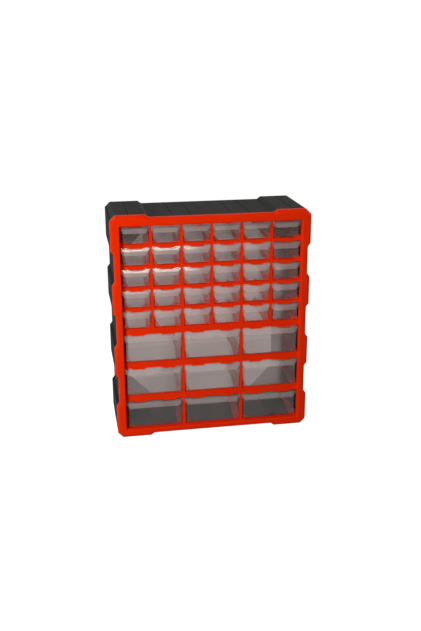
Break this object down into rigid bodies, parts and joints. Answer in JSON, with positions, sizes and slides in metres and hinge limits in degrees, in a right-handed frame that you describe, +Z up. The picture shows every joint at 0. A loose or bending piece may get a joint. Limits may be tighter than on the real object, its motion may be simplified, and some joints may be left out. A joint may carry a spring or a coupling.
{
  "type": "parts cabinet with drawers",
  "caption": "Tabletop plastic parts cabinet: black case, orange front frame with stepped lugs, rows of clear pull-out drawers, small ones above and large ones below.",
  "frame": {"origin": "middle of the footprint, at the level of the feet", "axes": "+X to the right seen from the front, -Y out of the front where the drawers open, +Z up"},
  "size_m": [0.38, 0.152, 0.442],
  "materials": {
    "orange_plastic": "satin moulded",
    "orange_runner_plastic": "satin moulded",
    "black_plastic": "fine spark texture",
    "clear_plastic": "clear, slightly milky"
  },
  "bodies": {
    "cabinet": {"front_frame": "orange_plastic", "case_shell": "black_plastic", "runner_rack_1": "orange_runner_plastic", "runner_rack_2": "orange_runner_plastic", "runner_rack_3": "orange_runner_plastic", "runner_rack_4": "orange_runner_plastic", "runner_rack_5": "orange_runner_plastic", "runner_rack_6": "orange_runner_plastic", "runner_rack_7": "orange_runner_plastic", "runner_rack_8": "orange_runner_plastic"},
    "large_drawer_1_1": {"large_drawer_1_1": "clear_plastic"},
    "large_drawer_1_2": {"large_drawer_1_2": "clear_plastic"},
    "large_drawer_1_3": {"large_drawer_1_3": "clear_plastic"},
    "large_drawer_2_1": {"large_drawer_2_1": "clear_plastic"},
    "large_drawer_2_2": {"large_drawer_2_2": "clear_plastic"},
    "large_drawer_2_3": {"large_drawer_2_3": "clear_plastic"},
    "large_drawer_3_1": {"large_drawer_3_1": "clear_plastic"},
    "large_drawer_3_2": {"large_drawer_3_2": "clear_plastic"},
    "large_drawer_3_3": {"large_drawer_3_3": "clear_plastic"},
    "small_drawer_1_1": {"small_drawer_1_1": "clear_plastic"},
    "small_drawer_1_6": {"small_drawer_1_6": "clear_plastic"},
    "small_drawer_5_1": {"small_drawer_5_1": "clear_plastic"},
    "small_drawer_5_6": {"small_drawer_5_6": "clear_plastic"},
    "small_drawer_3_3": {"small_drawer_3_3": "clear_plastic"},
    "small_drawer_1_2": {"small_drawer_1_2": "clear_plastic"},
    "small_drawer_1_3": {"small_drawer_1_3": "clear_plastic"},
    "small_drawer_1_4": {"small_drawer_1_4": "clear_plastic"},
    "small_drawer_1_5": {"small_drawer_1_5": "clear_plastic"},
    "small_drawer_2_1": {"small_drawer_2_1": "clear_plastic"},
    "small_drawer_2_2": {"small_drawer_2_2": "clear_plastic"},
    "small_drawer_2_3": {"small_drawer_2_3": "clear_plastic"},
    "small_drawer_2_4": {"small_drawer_2_4": "clear_plastic"},
    "small_drawer_2_5": {"small_drawer_2_5": "clear_plastic"},
    "small_drawer_2_6": {"small_drawer_2_6": "clear_plastic"},
    "small_drawer_3_1": {"small_drawer_3_1": "clear_plastic"},
    "small_drawer_3_2": {"small_drawer_3_2": "clear_plastic"},
    "small_drawer_3_4": {"small_drawer_3_4": "clear_plastic"},
    "small_drawer_3_5": {"small_drawer_3_5": "clear_plastic"},
    "small_drawer_3_6": {"small_drawer_3_6": "clear_plastic"},
    "small_drawer_4_1": {"small_drawer_4_1": "clear_plastic"},
    "small_drawer_4_2": {"small_drawer_4_2": "clear_plastic"},
    "small_drawer_4_3": {"small_drawer_4_3": "clear_plastic"},
    "small_drawer_4_4": {"small_drawer_4_4": "clear_plastic"},
    "small_drawer_4_5": {"small_drawer_4_5": "clear_plastic"},
    "small_drawer_4_6": {"small_drawer_4_6": "clear_plastic"},
    "small_drawer_5_2": {"small_drawer_5_2": "clear_plastic"},
    "small_drawer_5_3": {"small_drawer_5_3": "clear_plastic"},
    "small_drawer_5_4": {"small_drawer_5_4": "clear_plastic"},
    "small_drawer_5_5": {"small_drawer_5_5": "clear_plastic"}
  },
  "joints": [
    {"name": "large_drawer_1_1_slide", "type": "slide", "parent": "cabinet", "child": "large_drawer_1_1", "axis": [0, -1, 0], "range_m": [0, 0.112]},
    {"name": "large_drawer_1_2_slide", "type": "slide", "parent": "cabinet", "child": "large_drawer_1_2", "axis": [0, -1, 0], "range_m": [0, 0.112]},
    {"name": "large_drawer_1_3_slide", "type": "slide", "parent": "cabinet", "child": "large_drawer_1_3", "axis": [0, -1, 0], "range_m": [0, 0.112]},
    {"name": "large_drawer_2_1_slide", "type": "slide", "parent": "cabinet", "child": "large_drawer_2_1", "axis": [0, -1, 0], "range_m": [0, 0.112]},
    {"name": "large_drawer_2_2_slide", "type": "slide", "parent": "cabinet", "child": "large_drawer_2_2", "axis": [0, -1, 0], "range_m": [0, 0.112]},
    {"name": "large_drawer_2_3_slide", "type": "slide", "parent": "cabinet", "child": "large_drawer_2_3", "axis": [0, -1, 0], "range_m": [0, 0.112]},
    {"name": "large_drawer_3_1_slide", "type": "slide", "parent": "cabinet", "child": "large_drawer_3_1", "axis": [0, -1, 0], "range_m": [0, 0.112]},
    {"name": "large_drawer_3_2_slide", "type": "slide", "parent": "cabinet", "child": "large_drawer_3_2", "axis": [0, -1, 0], "range_m": [0, 0.112]},
    {"name": "large_drawer_3_3_slide", "type": "slide", "parent": "cabinet", "child": "large_drawer_3_3", "axis": [0, -1, 0], "range_m": [0, 0.112]},
    {"name": "small_drawer_1_1_slide", "type": "slide", "parent": "cabinet", "child": "small_drawer_1_1", "axis": [0, -1, 0], "range_m": [0, 0.112]},
    {"name": "small_drawer_1_6_slide", "type": "slide", "parent": "cabinet", "child": "small_drawer_1_6", "axis": [0, -1, 0], "range_m": [0, 0.112]},
    {"name": "small_drawer_5_1_slide", "type": "slide", "parent": "cabinet", "child": "small_drawer_5_1", "axis": [0, -1, 0], "range_m": [0, 0.112]},
    {"name": "small_drawer_5_6_slide", "type": "slide", "parent": "cabinet", "child": "small_drawer_5_6", "axis": [0, -1, 0], "range_m": [0, 0.112]},
    {"name": "small_drawer_3_3_slide", "type": "slide", "parent": "cabinet", "child": "small_drawer_3_3", "axis": [0, -1, 0], "range_m": [0, 0.112]},
    {"name": "small_drawer_1_2_slide", "type": "slide", "parent": "cabinet", "child": "small_drawer_1_2", "axis": [0, -1, 0], "range_m": [0, 0.112]},
    {"name": "small_drawer_1_3_slide", "type": "slide", "parent": "cabinet", "child": "small_drawer_1_3", "axis": [0, -1, 0], "range_m": [0, 0.112]},
    {"name": "small_drawer_1_4_slide", "type": "slide", "parent": "cabinet", "child": "small_drawer_1_4", "axis": [0, -1, 0], "range_m": [0, 0.112]},
    {"name": "small_drawer_1_5_slide", "type": "slide", "parent": "cabinet", "child": "small_drawer_1_5", "axis": [0, -1, 0], "range_m": [0, 0.112]},
    {"name": "small_drawer_2_1_slide", "type": "slide", "parent": "cabinet", "child": "small_drawer_2_1", "axis": [0, -1, 0], "range_m": [0, 0.112]},
    {"name": "small_drawer_2_2_slide", "type": "slide", "parent": "cabinet", "child": "small_drawer_2_2", "axis": [0, -1, 0], "range_m": [0, 0.112]},
    {"name": "small_drawer_2_3_slide", "type": "slide", "parent": "cabinet", "child": "small_drawer_2_3", "axis": [0, -1, 0], "range_m": [0, 0.112]},
    {"name": "small_drawer_2_4_slide", "type": "slide", "parent": "cabinet", "child": "small_drawer_2_4", "axis": [0, -1, 0], "range_m": [0, 0.112]},
    {"name": "small_drawer_2_5_slide", "type": "slide", "parent": "cabinet", "child": "small_drawer_2_5", "axis": [0, -1, 0], "range_m": [0, 0.112]},
    {"name": "small_drawer_2_6_slide", "type": "slide", "parent": "cabinet", "child": "small_drawer_2_6", "axis": [0, -1, 0], "range_m": [0, 0.112]},
    {"name": "small_drawer_3_1_slide", "type": "slide", "parent": "cabinet", "child": "small_drawer_3_1", "axis": [0, -1, 0], "range_m": [0, 0.112]},
    {"name": "small_drawer_3_2_slide", "type": "slide", "parent": "cabinet", "child": "small_drawer_3_2", "axis": [0, -1, 0], "range_m": [0, 0.112]},
    {"name": "small_drawer_3_4_slide", "type": "slide", "parent": "cabinet", "child": "small_drawer_3_4", "axis": [0, -1, 0], "range_m": [0, 0.112]},
    {"name": "small_drawer_3_5_slide", "type": "slide", "parent": "cabinet", "child": "small_drawer_3_5", "axis": [0, -1, 0], "range_m": [0, 0.112]},
    {"name": "small_drawer_3_6_slide", "type": "slide", "parent": "cabinet", "child": "small_drawer_3_6", "axis": [0, -1, 0], "range_m": [0, 0.112]},
    {"name": "small_drawer_4_1_slide", "type": "slide", "parent": "cabinet", "child": "small_drawer_4_1", "axis": [0, -1, 0], "range_m": [0, 0.112]},
    {"name": "small_drawer_4_2_slide", "type": "slide", "parent": "cabinet", "child": "small_drawer_4_2", "axis": [0, -1, 0], "range_m": [0, 0.112]},
    {"name": "small_drawer_4_3_slide", "type": "slide", "parent": "cabinet", "child": "small_drawer_4_3", "axis": [0, -1, 0], "range_m": [0, 0.112]},
    {"name": "small_drawer_4_4_slide", "type": "slide", "parent": "cabinet", "child": "small_drawer_4_4", "axis": [0, -1, 0], "range_m": [0, 0.112]},
    {"name": "small_drawer_4_5_slide", "type": "slide", "parent": "cabinet", "child": "small_drawer_4_5", "axis": [0, -1, 0], "range_m": [0, 0.112]},
    {"name": "small_drawer_4_6_slide", "type": "slide", "parent": "cabinet", "child": "small_drawer_4_6", "axis": [0, -1, 0], "range_m": [0, 0.112]},
    {"name": "small_drawer_5_2_slide", "type": "slide", "parent": "cabinet", "child": "small_drawer_5_2", "axis": [0, -1, 0], "range_m": [0, 0.112]},
    {"name": "small_drawer_5_3_slide", "type": "slide", "parent": "cabinet", "child": "small_drawer_5_3", "axis": [0, -1, 0], "range_m": [0, 0.112]},
    {"name": "small_drawer_5_4_slide", "type": "slide", "parent": "cabinet", "child": "small_drawer_5_4", "axis": [0, -1, 0], "range_m": [0, 0.112]},
    {"name": "small_drawer_5_5_slide", "type": "slide", "parent": "cabinet", "child": "small_drawer_5_5", "axis": [0, -1, 0], "range_m": [0, 0.112]}
  ]
}
